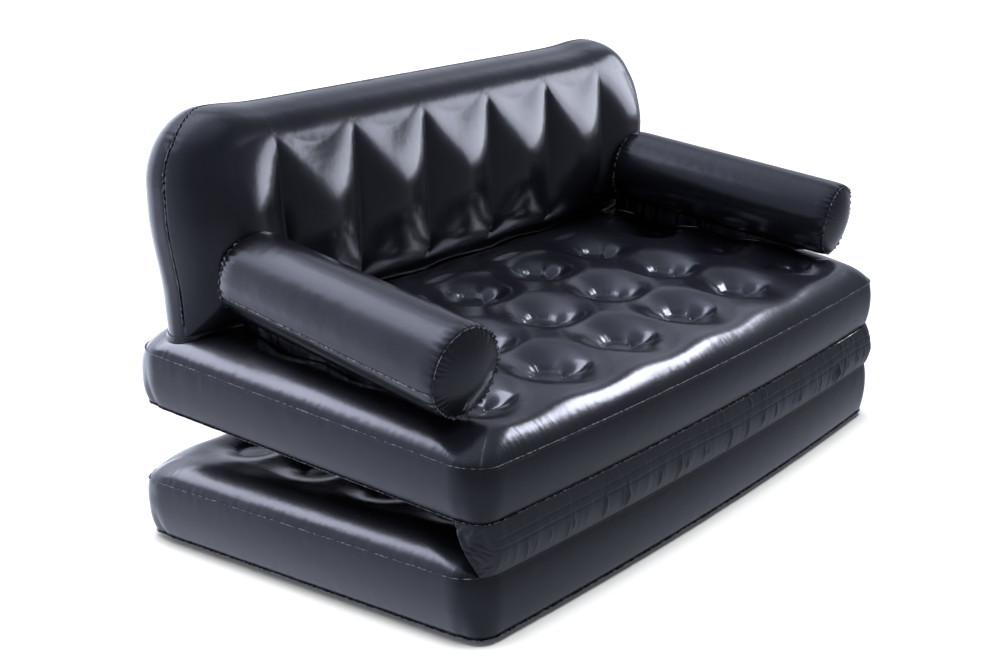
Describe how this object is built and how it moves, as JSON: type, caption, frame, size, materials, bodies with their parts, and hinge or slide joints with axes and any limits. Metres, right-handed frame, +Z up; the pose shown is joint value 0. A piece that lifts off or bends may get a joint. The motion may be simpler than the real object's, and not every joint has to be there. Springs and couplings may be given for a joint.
{
  "type": "inflatable sofa",
  "caption": "Inflatable sofa that folds out into a bed: tufted air mattresses hinged at the front, channelled backrest and round air arms.",
  "frame": {"origin": "centre of the bounding box in plan, on the floor under the sofa", "axes": "+Z up, +X to the sitter's left as seen from the front (the sofa's width), -Y towards the front of the seat"},
  "size_m": [1.544, 0.8698, 0.8133],
  "materials": {
    "black_pvc": "satin black PVC sheet with a fine leather grain, welded seams with small puckers",
    "strip_pvc": "matte black PVC strip, gathered and crinkled by its weld lines",
    "inner_pvc": "plain dark inner PVC sheet",
    "valve_plastic": "moulded black plastic, slightly glossy"
  },
  "bodies": {
    "seat_and_backrest": {"backrest_chamber": "black_pvc", "backrest_valve_stem": "valve_plastic", "backrest_web_1": "inner_pvc", "backrest_web_2": "inner_pvc", "backrest_web_3": "inner_pvc", "backrest_web_4": "inner_pvc", "backrest_web_5": "inner_pvc", "backrest_web_6": "inner_pvc", "backrest_weld_flange": "black_pvc", "left_arm_chamber": "black_pvc", "left_arm_valve_stem": "valve_plastic", "left_arm_weld_flap": "strip_pvc", "right_arm_chamber": "black_pvc", "right_arm_valve_stem": "valve_plastic", "right_arm_weld_flap": "strip_pvc", "seat_chamber": "black_pvc", "seat_coil_row_1": "inner_pvc", "seat_coil_row_2": "inner_pvc", "seat_coil_row_3": "inner_pvc", "seat_coil_row_4": "inner_pvc", "seat_hinge_flap": "strip_pvc", "seat_valve_body": "valve_plastic"},
    "base_mattress": {"base_chamber": "black_pvc", "base_coil_row_1": "inner_pvc", "base_coil_row_2": "inner_pvc", "base_coil_row_3": "inner_pvc", "base_coil_row_4": "inner_pvc", "base_hinge_flap": "strip_pvc", "base_valve_body": "valve_plastic"},
    "base_valve_insert": {"base_valve_insert": "valve_plastic"},
    "base_valve_cap": {"base_valve_cap": "valve_plastic"},
    "seat_valve_insert": {"seat_valve_insert": "valve_plastic"},
    "seat_valve_cap": {"seat_valve_cap": "valve_plastic"},
    "backrest_valve_plug": {"backrest_valve_plug": "valve_plastic"},
    "left_arm_valve_plug": {"left_arm_valve_plug": "valve_plastic"},
    "right_arm_valve_plug": {"right_arm_valve_plug": "valve_plastic"}
  },
  "joints": [
    {"name": "fold_out", "type": "hinge", "parent": "seat_and_backrest", "child": "base_mattress", "pos_m": [0, -0.4352, 0.174], "axis": [-1, 0, 0], "range_deg": [0, 176.07]},
    {"name": "seat_valve_insert_turn", "type": "hinge", "parent": "seat_and_backrest", "child": "seat_valve_insert", "pos_m": [0.348, 0.4188, 0.329], "axis": [0, 1, 0], "range_deg": [0, 540]},
    {"name": "seat_valve_cap_turn", "type": "hinge", "parent": "seat_valve_insert", "child": "seat_valve_cap", "pos_m": [0.348, 0.4188, 0.329], "axis": [0, 1, 0], "range_deg": [0, 360]},
    {"name": "base_valve_insert_turn", "type": "hinge", "parent": "base_mattress", "child": "base_valve_insert", "pos_m": [0.348, 0.4188, 0.0705], "axis": [0, 1, 0], "range_deg": [0, 540]},
    {"name": "base_valve_cap_turn", "type": "hinge", "parent": "base_valve_insert", "child": "base_valve_cap", "pos_m": [0.348, 0.4188, 0.0705], "axis": [0, 1, 0], "range_deg": [0, 360]},
    {"name": "backrest_valve_plug_pull", "type": "slide", "parent": "seat_and_backrest", "child": "backrest_valve_plug", "axis": [0, 0.9957, -0.0924], "range_m": [0, 0.012]},
    {"name": "left_arm_valve_plug_pull", "type": "slide", "parent": "seat_and_backrest", "child": "left_arm_valve_plug", "axis": [0.713, 0.0328, -0.7004], "range_m": [0, 0.012]},
    {"name": "right_arm_valve_plug_pull", "type": "slide", "parent": "seat_and_backrest", "child": "right_arm_valve_plug", "axis": [0.6954, 0.161, -0.7004], "range_m": [0, 0.012]}
  ]
}
